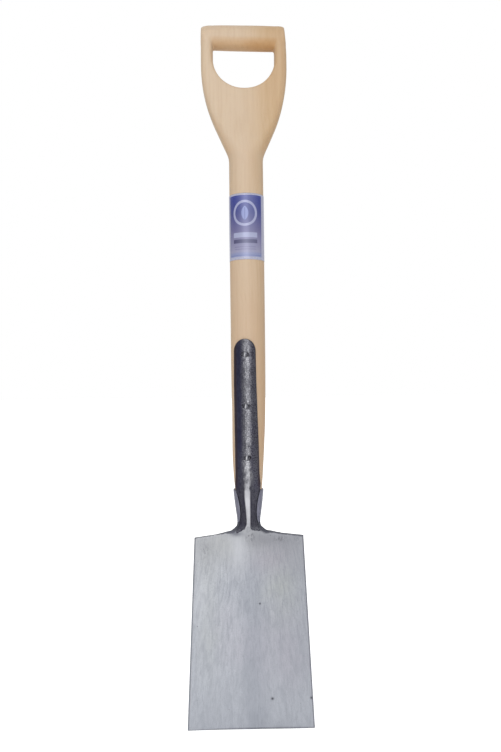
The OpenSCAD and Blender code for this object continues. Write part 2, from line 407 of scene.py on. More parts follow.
def neck_swell(x, z):
    """How far the forged swell stands out from the plate, at the neck and fading down the blade."""
    down = np.maximum(JOINT_Z - z, 0.0)
    root = 5.0 * np.exp(-down / 12.0) + np.maximum(crown_depth(z) - crown_depth(np.float64(JOINT_Z)), 0.0)
    half_w = 9.6 + 9.0 * (1.0 - np.exp(-down / 22.0))
    long_fade = 1.15 * np.exp(-down / 60.0) * np.exp(-((x / (11.0 + 0.11 * down)) ** 2))
    return root * np.exp(-((np.abs(x) / half_w) ** 2.1)) + long_fade


def bell_depth(x, z):
    """Depth of the neck's front surface in front of the shaft's centre plane."""
    return plate_half_t(z) + neck_swell(x, z) - blade_middle(x, z) * smooth(z, JOINT_Z + 12.0, JOINT_Z)


def strap_center(z, lean):
    """X of a strap's centre line: lean is 1 for the front strap and 0 for the straight rear one."""
    return lean * np.interp(z, [JOINT_Z, CHEEK_TOP_Z, 485.0, STRAP_TIP_Z], [-0.3, -1.0, -3.55, -STRAP_LEAN])


def strap_half_width(z):
    return np.interp(
        z,
        [STRAP_FOOT_Z, 278.0, JOINT_Z, 297.0, 309.0, 322.0, 332.0, 340.0, STRAP_BEND_Z, STRAP_TIP_Z - STRAP_TIP_R],
        [20.0, 16.6, 12.6, 11.2, 11.4, 13.4, 16.2, 18.3, STRAP_LOW_HALF_W, STRAP_TIP_R],
    )


def strap_outline(x, z, lean, grow=0.0):
    """Signed distance to the strap's edge, seen from the front."""
    tip_z = STRAP_TIP_Z - STRAP_TIP_R
    smoothed = (strap_half_width(z - 4.0) + strap_half_width(z) + strap_half_width(z + 4.0)) / 3.0
    side = np.abs(x - strap_center(z, lean)) - smoothed
    tip = np.hypot(x - strap_center(np.float64(tip_z), lean), (z - tip_z) * 0.89) - STRAP_TIP_R
    return np.where(z > tip_z, tip, side) - grow


def wood_face(x, z):
    """Depth of the wood under a strap."""
    round_face = np.sqrt(np.maximum(wood_radius(z) ** 2 - (x - bow(z)) ** 2, 0.0))
    face = np.minimum(round_face, wedge_half_depth(z) - sunk_under_steel(z))
    return np.where(z > WOOD_END_Z, face, 0.0)


def strap_face(x, z, lean):
    """Depth of the strap's outer face: it hugs the shaft, and turns into a steep ridge at the neck."""
    radius = wood_radius(z) + STRAP_T
    hugging = np.sqrt(np.maximum(radius**2 - (x - bow(z)) ** 2, 1.0)) - (radius - crown_depth(z))
    s = np.clip((x - strap_center(z, lean)) / strap_half_width(z), -1.0, 1.0)
    heights = [JOINT_Z, 300.0, 318.0, CHEEK_TOP_Z, SOCKET_MOUTH_Z, WEDGE_Z]
    foot = np.interp(z, heights, [4.6, 7.8, 11.0, 12.6, 13.8, 16.0])
    ridge = foot + (crown_depth(z) - foot) * np.sqrt(1.0 - 0.985 * s * s)
    face = mix(hugging, ridge, smooth(z, WEDGE_Z + 8.0, SOCKET_MOUTH_Z + 4.0))
    face = soft_max(face, wood_face(x, z) + 1.5, 1.5)
    low_z = np.interp(x, FOOT_X, FOOT_Z) + 0.3 * np.sin(x * 1.3)
    feathered = bell_depth(x, z) + 0.75 * np.clip((z - low_z) / 5.0, -1.0, 1.0)
    return mix(feathered, face, smooth(z, 285.0, 305.0))


RIVETS = {name: sum(cad_box(name)) / 2.0 for name in ("upper_rivet", "middle_rivet", "lower_rivet")}
RIVET_HEAD_R = 3.8


def rivet_seats(x, z):
    """How far the strap sinks in a ring round each rivet's head."""
    sink = 0.0
    for center in RIVETS.values():
        r = np.hypot(x - center[0], z - center[2])
        sink = sink + 0.8 * np.exp(-(((r - RIVET_HEAD_R - 0.1) / 0.7) ** 2))
    return sink


def strap_field(x, y, z, lean):
    """One strap with its outer face towards -Y."""
    depth = -y
    hammered = 0.16 * ripples(x, z * 0.6, z * 0.4, seed=11, length=15.0) * smooth(z, 300.0, 345.0)
    outer = depth - strap_face(x, z, lean) - hammered + rivet_seats(x, z)
    body = soft_max(strap_outline(x, z, lean), outer, 1.9)
    return np.maximum(body, wood_face(x, z) + 0.05 - depth)


def cheek_half_width(z):
    return np.interp(
        z, [282.0, JOINT_Z, 294.0, 302.0, 311.0, 319.0, CHEEK_TOP_Z], [17.0, 16.4, 16.7, 17.9, 19.1, 20.1, 21.9]
    )


def cheek_face(x, z):
    """Depth of the cheeks' front, from the strap's edge round to the side."""
    round_face = np.sqrt(np.maximum(cheek_half_width(z) ** 2 - x * x, 0.0))
    wrapped = soft_min(round_face, crown_depth(z) - 1.6, 3.0)
    return mix(bell_depth(x, z) - 0.25, wrapped, smooth(z, 285.0, 303.0))


def socket_field(x, y, z):
    """The cheeks, hollow for the wood and cut away where the front strap lies."""
    depth = np.abs(y)
    shell = depth - cheek_face(x, z)
    body = soft_max(shell, np.abs(x) - cheek_half_width(z), 1.3)
    top = CHEEK_TOP_Z - 1.0 - 0.1 * np.abs(x)
    body = soft_max(body, z - top, 1.6)
    body = np.maximum(body, 281.0 - z)
    wood = np.maximum(np.abs(x) - wood_radius(z), depth - wood_face(x, z)) - 0.05
    body = np.maximum(body, -np.where(z > WOOD_END_Z, wood, 1.0))
    front_strap = np.maximum(strap_outline(x, z, 1.0, grow=0.06), y)
    return np.maximum(body, -front_strap)


def front_strap_field(x, y, z):
    return np.maximum(strap_field(x, y, z, 1.0), y)


def rear_strap_field(x, y, z):
    """The straight rear strap, joined to the cheeks that wrap forward round the shaft."""
    back = strap_field(x, -y, z, 0.0)
    return soft_min(back, socket_field(x, y, z), 0.8)


def build_front_strap():
    lo = np.array([STRAP_LO[0] - 2.0, STRAP_LO[1] - 2.0, STRAP_FOOT_Z - 4.0])
    hi = np.array([STRAP_HI[0] + 2.0, 0.5, STRAP_HI[2] + 2.0])
    return make_object("front_strap_forging", *net_mesh(front_strap_field, lo, hi, STRAP_STEP))


def build_rear_strap():
    lo = np.array([CHEEK_LO[0] - 2.0, CHEEK_LO[1] - 2.0, STRAP_FOOT_Z - 4.0])
    return make_object("rear_strap_forging", *net_mesh(rear_strap_field, lo, CHEEK_HI + 2.0, STRAP_STEP))


# ---- Blade ----


def shoulder_height(x):
    """Height of the blade's upper edge: a sloping shoulder and a fillet up to the neck."""
    slope, fillet_end = math.radians(6.5), math.radians(36.0)
    root_x, shoulder_x = 17.0, 45.0
    fillet_r = (shoulder_x - root_x) / (math.sin(fillet_end) - math.sin(slope))
    fillet_x = root_x + fillet_r * math.sin(fillet_end)
    fillet_z = NECK_ROOT_Z + fillet_r * math.cos(fillet_end)
    ax = np.abs(x)
    shoulder = SHOULDER_Z + (BLADE_TOP_HALF_W - ax) * math.tan(slope)
    fillet = fillet_z - np.sqrt(np.maximum(fillet_r**2 - (fillet_x - ax) ** 2, 0.0))
    edge = np.where(ax > shoulder_x, np.minimum(shoulder, 272.2), fillet)
    edge = edge - 1.9 * np.exp(-(((ax - 24.5) / 5.6) ** 2))
    edge = edge + (0.55 * x / BLADE_TOP_HALF_W - 0.15) * smooth(ax, 20.0, 36.0)
    return np.where(ax < root_x, np.interp(ax, [NECK_HALF_W, root_x], [JOINT_Z, NECK_ROOT_Z]), edge)


def blade_side(z):
    """Half width of the blade at a height."""
    return np.interp(z, [0.0, SHOULDER_Z, JOINT_Z], [BLADE_EDGE_HALF_W, BLADE_TOP_HALF_W, BLADE_TOP_HALF_W]) - 0.6


def blade_columns():
    """Column places from side to side, closer together where the neck rises."""
    outer = np.linspace(21.2, BLADE_TOP_HALF_W, 44)
    half = np.concatenate([np.linspace(0.0, 9.0, 9), np.linspace(10.0, 20.0, 14), outer])
    return np.concatenate([-half[::-1], half[1:]]) / BLADE_TOP_HALF_W


def blade_surface(x, z, side):
    """Y of the blade's front (side = -1) or back (side = 1)."""
    worn = 0.1 * ripples(x, 0.0 * x, z, seed=21 + side, length=55.0)
    stand = plate_half_t(z) + neck_swell(x, z) + worn * smooth(z, 0.0, 12.0)
    if side > 0:
        stand = stand - (PLATE_LOW_T - EDGE_T) * np.clip((BEVEL_H - z) / BEVEL_H, 0.0, 1.0)
    return blade_middle(x, z) + side * stand


def build_blade():
    s = blade_columns()
    t = np.linspace(0.0, 1.0, 190)
    top = shoulder_height(s * BLADE_TOP_HALF_W)
    worn_corner = np.where(s < 0.0, 1.8 * np.abs(s) ** 1.2, 1.2 * np.abs(s) ** 4)
    z = worn_corner + t[:, None] * (top - worn_corner)[None, :]
    x = s[None, :] * blade_side(z)
    rows, columns = z.shape
    front = np.stack([x, blade_surface(x, z, -1), z], -1).reshape(-1, 3)
    back = np.stack([x, blade_surface(x, z, 1), z], -1).reshape(-1, 3)

    rim = grid_rim(rows, columns)
    ahead, behind = np.roll(rim, -1), np.roll(rim, 1)
    along = front[ahead] - front[behind]
    outward = np.stack([along[:, 2], np.zeros(len(rim)), -along[:, 0]], 1)
    outward /= np.linalg.norm(outward, axis=1, keepdims=True)
    bulge = np.where((front[rim, 2] < 2.5) | (front[rim, 2] > JOINT_Z - 0.6), 0.0, 0.3)[:, None]

    steps = 4
    points = [front, back]
    loops = [rim]
    count = len(front) + len(back)
    for i in range(1, steps):
        f = 0.5 - 0.5 * math.cos(math.pi * i / steps)
        points.append(mix(front[rim], back[rim], f) + outward * bulge * math.sin(math.pi * i / steps))
        loops.append(np.arange(count, count + len(rim)))
        count += len(rim)
    loops.append(rim + len(front))
    faces = [grid_faces(rows, columns), grid_faces(rows, columns, len(front))[:, ::-1]]
    faces += [band_faces(a, b) for a, b in zip(loops[:-1], loops[1:])]
    return make_object("forged_blade", np.concatenate(points), np.concatenate(faces))


# ---- Rivets, grip pin and label ----


def build_rivet(name, center, seed):
    """A headed rivet whose hammered heads follow the straps' faces."""
    rings, spokes = 9, 40
    rng = np.random.default_rng(seed)
    lumps = rng.uniform(-1.0, 1.0, 4)
    points, faces = [], []
    reach = {}
    for side, lean in ((-1, 1.0), (1, 0.0)):
        start = len(points)
        for i in range(rings):
            r = RIVET_HEAD_R * math.sin(0.5 * math.pi * i / (rings - 1))
            for j in range(spokes):
                a = 2.0 * math.pi * j / spokes
                px = center[0] + r * math.cos(a) * (1.0 + 0.02 * lumps[0] * math.sin(2 * a))
                pz = center[2] + r * math.sin(a)
                u = r / RIVET_HEAD_R
                rise = 0.42 - 0.75 * u**4 + 0.07 * lumps[1] * u * math.sin(a + lumps[2] * 3.0)
                depth = float(strap_face(np.float64(px), np.float64(pz), lean)) + rise
                points.append((px, side * depth, pz))
        for i in range(rings - 1):
            for j in range(spokes):
                a = start + i * spokes + j
                b = start + i * spokes + (j + 1) % spokes
                quad = (a, a + spokes, b + spokes, b)
                faces.append(quad if side < 0 else quad[::-1])
        reach[side] = start + (rings - 1) * spokes
    low, high = reach[-1], reach[1]
    for j in range(spokes):
        k = (j + 1) % spokes
        faces.append((low + j, high + j, high + k, low + k))
    return make_object(name + "_headed", points, faces)


def revolved_pin(name, axis_z, radius, left, right):
    """A pin along X with chamfered, slightly crowned ends."""
    spokes = 48
    end = [(0.0, 0.0), (0.05, radius * 0.55), (0.15, radius - 0.45), (0.6, radius)]
    profile = [(left + px, pr) for px, pr in end] + [(0.0, radius)]
    profile += [(right - px, pr) for px, pr in reversed(end)]
    points = []
    for px, pr in profile:
        for j in range(spokes):
            a = 2.0 * math.pi * j / spokes
            points.append((px, pr * math.cos(a), axis_z + pr * math.sin(a)))
    faces = []
    for i in range(len(profile) - 1):
        for j in range(spokes):
            a, b = i * spokes + j, i * spokes + (j + 1) % spokes
            faces.append((a, a + spokes, b + spokes, b))
    return make_object(name, points, faces)


def build_label():
    """Foil wrapped round the shaft, with rounded corners and faint ripples from the grain below."""
    half_wrap = math.radians(150.0)
    radius = WOOD_R + 0.08
    foil_t = 0.2
    low, high = LABEL_LO[2], LABEL_HI[2]
    corner = 3.0
    columns, rows = 241, 75
    angle = np.linspace(-half_wrap, half_wrap, columns)
    v = np.linspace(0.0, 1.0, rows)
    from_end = (half_wrap - np.abs(angle)) * radius
    cut = np.where(
        from_end < corner, corner - np.sqrt(np.maximum(corner**2 - (corner - from_end) ** 2, 0.0)), 0.0
    )
    z = (low + cut)[None, :] + v[:, None] * (high - low - 2.0 * cut)[None, :]
    a = np.broadcast_to(angle, z.shape)
    wave = 0.035 * ripples(a * radius, 0.0 * a, z * 0.4, seed=5, length=9.0)
    shells = []
    for lift in (foil_t - 0.07, 0.0):
        r = radius + lift + (wave + 0.035 if lift else 0.0)
        shells.append(np.stack([BOW + r * np.sin(a), -r * np.cos(a), z], -1).reshape(-1, 3))
    count = rows * columns
    rim = grid_rim(rows, columns)
    faces = [grid_faces(rows, columns), grid_faces(rows, columns, count)[:, ::-1], band_faces(rim, rim + count)]
    return make_object("foil_label", np.concatenate(shells), np.concatenate(faces))


# ---- Material graphs ----


def srgb(r, g, b):
    """Linear colour from 0-255 screen values."""
    def channel(v):
        v /= 255.0
        return v / 12.92 if v <= 0.04045 else ((v + 0.055) / 1.055) ** 2.4
    return (channel(r), channel(g), channel(b), 1.0)


def math_node(operation, swapped=False):
    """An operator of Value that adds a math node."""
    def apply(self, other):
        a, b = (other, self) if swapped else (self, other)
        return self.graph.math(operation, a, b)
    return apply


class Value:
    """A node's output, which takes part in ordinary arithmetic."""

    __array_ufunc__ = None  # numpy's numbers leave the arithmetic to this class
    __add__, __radd__ = math_node("ADD"), math_node("ADD", swapped=True)
    __sub__, __rsub__ = math_node("SUBTRACT"), math_node("SUBTRACT", swapped=True)
    __mul__, __rmul__ = math_node("MULTIPLY"), math_node("MULTIPLY", swapped=True)
    __truediv__, __pow__ = math_node("DIVIDE"), math_node("POWER")

    def __init__(self, graph, socket):
        self.graph = graph
        self.socket = socket

    def __neg__(self):
        return self * -1.0

    def __abs__(self):
        return self.graph.math("ABSOLUTE", self)


class Graph:
    """Short ways to build a material's nodes from numbers, colours and values."""

    def __init__(self, name):
        self.material = bpy.data.materials.new(name)
        self.material.use_nodes = True
        self.tree = self.material.node_tree
        self.tree.nodes.clear()
        self.output = self.tree.nodes.new("ShaderNodeOutputMaterial")
        self.place = self.node("ShaderNodeTexCoord", out="Object")

    def node(self, kind, out=0, settings=None, **inputs):
        """Adds a node. An input is named by its label, or by its number as i0, i1 and so on."""
        n = self.tree.nodes.new(kind)
        for key, value in (settings or {}).items():
            setattr(n, key, value)
        for key, value in inputs.items():
            numbered = key[0] == "i" and key[1:].isdigit()
            socket = n.inputs[int(key[1:]) if numbered else key.replace("_", " ")]
            if isinstance(value, Value):
                self.tree.links.new(value.socket, socket)
            else:
                socket.default_value = value
        return Value(self, n.outputs[out])

    def math(self, operation, a, b=0.0):
        return self.node("ShaderNodeMath", settings={"operation": operation}, i0=a, i1=b)

    def larger(self, a, b):
        return self.math("MAXIMUM", a, b)

    def smaller(self, a, b):
        return self.math("MINIMUM", a, b)

    def stretch(self, scale, place=None, turn=(0.0, 0.0, 0.0)):
        """The object's place in metres, scaled axis by axis."""
        return self.node("ShaderNodeMapping", Vector=place or self.place, Rotation=turn, Scale=scale)

    def noise(self, scale, place=None, turn=(0.0, 0.0, 0.0), detail=4.0, rough=0.55, distortion=0.0):
        return self.node(
            "ShaderNodeTexNoise", Vector=self.stretch(scale, place, turn), Scale=1.0,
            Detail=detail, Roughness=rough, Distortion=distortion
        )

    def ramp(self, value, *stops):
        """Colour ramp through (position, colour) stops."""
        n = self.tree.nodes.new("ShaderNodeValToRGB")
        ramp = n.color_ramp
        for _ in range(len(stops) - 2):
            ramp.elements.new(0.5)
        for element, (position, colour) in zip(ramp.elements, stops):
            element.position = position
            element.color = colour if isinstance(colour, tuple) else (colour, colour, colour, 1.0)
        self.tree.links.new(value.socket, n.inputs[0])
        return Value(self, n.outputs[0])

    def blend(self, factor, a, b, kind="MIX"):
        return self.node(
            "ShaderNodeMix", out=2, settings={"data_type": "RGBA", "blend_type": kind}, i0=factor, i6=a, i7=b
        )

    def cover(self, base, share, *screen):
        """The base colour under a share of another one, given in 0-255 screen values."""
        return self.blend(share, base, srgb(*screen))

    def span(self, value, low, high, to_low=0.0, to_high=1.0):
        """to_low where value is low, to_high where it is high, and a smooth step between them."""
        return self.node(
            "ShaderNodeMapRange", settings={"interpolation_type": "SMOOTHSTEP"},
            Value=value, From_Min=low, From_Max=high, To_Min=to_low, To_Max=to_high
        )

    def axes(self, place=None):
        n = self.tree.nodes.new("ShaderNodeSeparateXYZ")
        self.tree.links.new((place or self.place).socket, n.inputs[0])
        return [Value(self, output) for output in n.outputs]

    def bump(self, height, distance, strength=1.0):
        return self.node("ShaderNodeBump", Height=height, Distance=distance, Strength=strength)

    def finish(self, **inputs):
        shader = self.node("ShaderNodeBsdfPrincipled", **inputs)
        self.tree.links.new(shader.socket, self.output.inputs["Surface"])
        return self.material


def spot(g, x, z, place, size):
    """A soft round patch, 1 at its middle."""
    dx = (x - place[0]) / size[0]
    dz = (z - place[1]) / size[1]
    return g.math("EXPONENT", -(dx * dx + dz * dz))


def wood_material():
    g = Graph("ash_wood")
    wander = g.node(
        "ShaderNodeVectorMath", settings={"operation": "MULTIPLY_ADD"},
        i0=g.node("ShaderNodeTexNoise", out=1, Vector=g.stretch((1.0, 1.0, 0.35)), Scale=7.0, Detail=2.0),
        i1=(0.03, 0.03, 0.0), i2=g.place
    )
    x, y, z = g.axes(wander)
    pith_x, pith_y, ring_gap = 0.19, -0.02, 0.0052
    cloud = g.noise((16.0, 16.0, 6.0), detail=3.0)
    away = g.math("SQRT", (x - pith_x) ** 2.0 + (y - pith_y) ** 2.0) + cloud * 0.045
    ring = g.math("FRACT", away * (1.0 / ring_gap))
    early = g.ramp(ring, (0.0, 0.62), (0.2, 0.88), (0.55, 1.0), (0.86, 0.82), (1.0, 0.62))
    fibre = g.noise((1500.0, 1500.0, 26.0), wander, detail=5.0, rough=0.62)
    streak = g.noise((230.0, 230.0, 3.2), wander, detail=3.0)
    pores = g.noise((2100.0, 2100.0, 70.0), wander, detail=1.0)
    pore_mask = g.ramp(pores, (0.3, 1.0), (0.4, 0.0))

    pale = srgb(221, 198, 170)
    tan = srgb(218, 193, 163)
    base = g.blend(g.span(early, 0.25, 1.0), tan, pale)
    base = g.cover(base, g.span(streak, 0.42, 0.72, 0.0, 0.26), 197, 166, 131)
    base = g.cover(base, g.span(fibre, 0.3, 0.75, 0.0, 0.14), 226, 206, 182)
    base = g.cover(base, g.span(cloud, 0.35, 0.7, 0.0, 0.28), 214, 184, 158)
    base = g.cover(base, pore_mask * g.span(early, 1.0, 0.55, 0.03, 0.13), 163, 128, 92)
    # Painted light and shade: faces turned to either side and the right half of the handle get a warmer, darker
    # tint, standing for a warm light from the right
    face_x, _, face_z = g.axes(g.node("ShaderNodeNewGeometry", out="Normal"))
    painted_warm_shade = g.larger(g.span(face_x, 0.1, 0.95, 0.0, 0.5), g.span(face_x, -0.45, -1.0, 0.0, 0.3))
    across = x + (cloud - 0.5) * 0.03
    painted_warm_shade = g.larger(painted_warm_shade, g.span(across, 0.012, 0.054, 0.0, 0.92))
    base = g.blend(painted_warm_shade, base, (0.895, 0.795, 0.645, 1.0), "MULTIPLY")
    # Painted shade: faces turned down get darker and more golden
    base = g.blend(g.span(face_z, -0.1, -0.8, 0.0, 0.8), base, (0.99, 0.84, 0.64, 1.0), "MULTIPLY")
    base = g.blend(g.span(z, 0.86, 0.46), base, (0.955, 0.91, 0.87, 1.0), "MULTIPLY")
    # A darker golden-brown patch near the crossbar's right end
    bar_end_patch = spot(g, x, z, (0.033, 0.958), (0.02, 0.008)) * g.span(cloud, 0.3, 0.62, 0.35, 0.85)
    base = g.blend(bar_end_patch, base, (0.93, 0.8, 0.64, 1.0), "MULTIPLY")
    height = fibre * 0.5 + early * 0.2 - pore_mask * 0.6
    rough = g.span(fibre, 0.2, 0.8, 0.58, 0.44)
    return g.finish(
        Base_Color=base, Roughness=rough, Specular_IOR_Level=0.38, Normal=g.bump(height, 0.00006, 0.5),
        Subsurface_Weight=0.04, Subsurface_Radius=(0.9, 0.5, 0.25), Subsurface_Scale=0.0012
    )


def fanned(g, spread):
    """Brush direction on the blade: lines that fan out from a point above the neck."""
    x, y, z = g.axes()
    across = x / (spread - z)
    return g.node("ShaderNodeCombineXYZ", X=across, Y=y, Z=z)


def shoulder_gap(g, ax, z):
    """Distance below the blade's upper edge, in metres."""
    slope = (BLADE_TOP_HALF_W * MM - ax) * 0.114
    fillet = g.math("EXPONENT", (NECK_HALF_W * MM - ax) / 0.0074)
    return slope + fillet * 0.0088 + SHOULDER_Z * MM - z


# Soft patches on the blade, in metres: place, size and, past the tints, strength
MAUVE_TINTS = (
    ((0.046, 0.105), (0.034, 0.05)),
    ((-0.022, 0.12), (0.022, 0.04)),
    ((0.03, 0.235), (0.03, 0.02)),
)
GREEN_TINTS = (
    ((-0.06, 0.185), (0.016, 0.08)),
    ((0.044, 0.19), (0.026, 0.035)),
    ((-0.04, 0.255), (0.03, 0.02)),
)
# Painted highlights: lighter patches left of the neck and along the left edge
GLEAMS = (
    ((-0.013, 0.25), (0.012, 0.03), 0.35),
    ((-0.069, 0.181), (0.013, 0.03), 0.26),
)
SHADES = (
    ((0.021, 0.264), (0.018, 0.012), 0.44),
    ((0.05, 0.262), (0.026, 0.013), 0.24),
    ((0.064, 0.24), (0.026, 0.026), 0.18),
    ((-0.063, 0.252), (0.014, 0.014), 0.14),
    ((0.004, 0.262), (0.009, 0.01), 0.18),
)
SCUFFS = (
    ((0.0015, 0.269), (0.0055, 0.009), 0.8),
    ((0.044, 0.264), (0.0095, 0.0045), 0.55),
    ((0.068, 0.262), (0.006, 0.006), 0.32),
    ((-0.062, 0.248), (0.006, 0.011), 0.34),
)
DINGS = (
    ((0.0142, 0.1735), (0.0013, 0.0013), 0.9),
    ((0.0302, 0.0414), (0.0019, 0.0019), 0.9),
    ((0.0848, 0.0425), (0.0017, 0.0017), 0.9),
)
# Painted shade at the left foot of the neck
NECK_FOOT_SHADES = (((-0.0185, 0.2715), (0.009, 0.0036), 0.8),)


def patches(g, x, z, base, spots, *screen):
    """The base colour under a few soft patches of another one."""
    for place, size, share in spots:
        base = g.cover(base, spot(g, x, z, place, size) * share, *screen)
    return base


def blade_material():
    g = Graph("ground_steel")
    x, y, z = g.axes()
    ax = abs(x)
    fan = fanned(g, 0.62)
    fine = g.noise((900.0, 300.0, 95.0), fan, detail=5.0, rough=0.7, distortion=0.6)
    coarse = g.noise((100.0, 40.0, 36.0), fan, detail=5.0, rough=0.65, distortion=0.9)
    cross = g.noise((480.0, 90.0, 80.0), turn=(0.0, 0.45, 0.0), detail=4.0, rough=0.65, distortion=0.3)
    grain = g.noise((900.0, 900.0, 700.0), detail=3.0, rough=0.7)
    scour = g.noise((420.0, 420.0, 170.0), detail=4.0, rough=0.65)
    cloud = g.noise((24.0, 24.0, 15.0), detail=6.0, rough=0.62, distortion=0.8)
    tint = g.noise((14.0, 9.0, 8.0), detail=2.0, distortion=0.6)
    pits = g.ramp(g.noise((260.0, 260.0, 240.0), detail=2.0), (0.205, 1.0), (0.245, 0.0))

    base = g.blend(g.span(cloud, 0.3, 0.72), srgb(158, 161, 169), srgb(186, 189, 196))
    for place, size in MAUVE_TINTS:
        patch = spot(g, x, z, place, size) * g.span(tint, 0.35, 0.6, 0.25, 0.75)
        base = g.cover(base, patch, 178, 167, 180)
    for place, size in GREEN_TINTS:
        patch = spot(g, x, z, place, size) * g.span(tint, 0.65, 0.38, 0.3, 0.8)
        base = g.cover(base, patch, 182, 185, 177)
    base = g.cover(base, g.span(fine, 0.35, 0.66, 0.0, 0.34), 214, 216, 221)
    base = g.cover(base, g.span(cross, 0.48, 0.72, 0.0, 0.42), 134, 137, 146)
    base = g.cover(base, g.span(coarse, 0.42, 0.66, 0.0, 0.4), 138, 141, 150)
    base = g.cover(base, g.span(grain, 0.5, 0.72, 0.0, 0.5), 122, 124, 133)

    # Painted reflection of the bright floor: the blade lighter towards its bottom edge
    base = g.cover(base, g.span(z, 0.25, 0.02) * 0.3, 212, 216, 224)
    base = g.cover(base, g.span(z, 0.19, 0.27, 0.0, 0.5), 168, 168, 170)
    # Painted shade: the right side darker, as the light falls from the left
    right = g.span(x, -0.01, 0.06) * g.span(z, 0.02, 0.26, 0.18, 0.3)
    base = g.cover(base, right, 122, 125, 134)
    off_middle = abs(x - 0.0055)
    middle = g.span(off_middle, 0.026, 0.002, 0.0, 0.27) * g.span(z, 0.265, 0.22, 0.0, 1.0)
    base = g.cover(base, middle, 134, 138, 150)
    # Painted highlights
    base = patches(g, x, z, base, GLEAMS, 214, 216, 222)
    base = g.cover(base, pits * 0.75, 66, 66, 74)
    base = patches(g, x, z, base, DINGS, 40, 40, 48)
    base = patches(g, x, z, base, SHADES, 112, 112, 119)
    for place, size, share in SCUFFS:
        scuffed = spot(g, x, z, place, size) * g.span(scour, 0.47, 0.6)
        base = g.cover(base, scuffed * share, 92, 92, 98)

    # Painted shade in the fillet under the shoulders and beside the neck
    fillet_shade_wobble = g.noise((260.0, 260.0, 160.0), detail=5.0)
    gap = shoulder_gap(g, ax, z) + (fillet_shade_wobble - 0.5) * 0.0035
    band = g.span(ax, 0.014, 0.036, 0.0088, 0.0015)
    fillet = g.span(gap / band, 1.25, 0.6) * g.span(ax, 0.016, 0.06, 0.95, 0.72)
    base = g.cover(base, fillet, 66, 67, 76)
    base = patches(g, x, z, base, NECK_FOOT_SHADES, 106, 108, 118)
    # Painted shade: a dark line along the side edges
    side = (BLADE_EDGE_HALF_W - 0.6) * MM - z * 0.0448
    rim = g.span(side - ax, 0.0026, 0.0009, 0.0, 0.55)
    base = g.cover(base, rim, 84, 86, 96)
    base = g.cover(base, g.span(z, 0.0034, 0.0014, 0.0, 0.46), 84, 86, 96)

    rough = g.span(cloud, 0.3, 0.7, 0.37, 0.47) + (fine - 0.5) * 0.14
    height = fine * 0.5 + cross * 0.35 + grain * 0.3 - pits * 0.8
    return g.finish(
        Base_Color=base, Metallic=0.88, Roughness=rough, Anisotropic=0.2, Normal=g.bump(height, 0.00005, 0.8)
    )


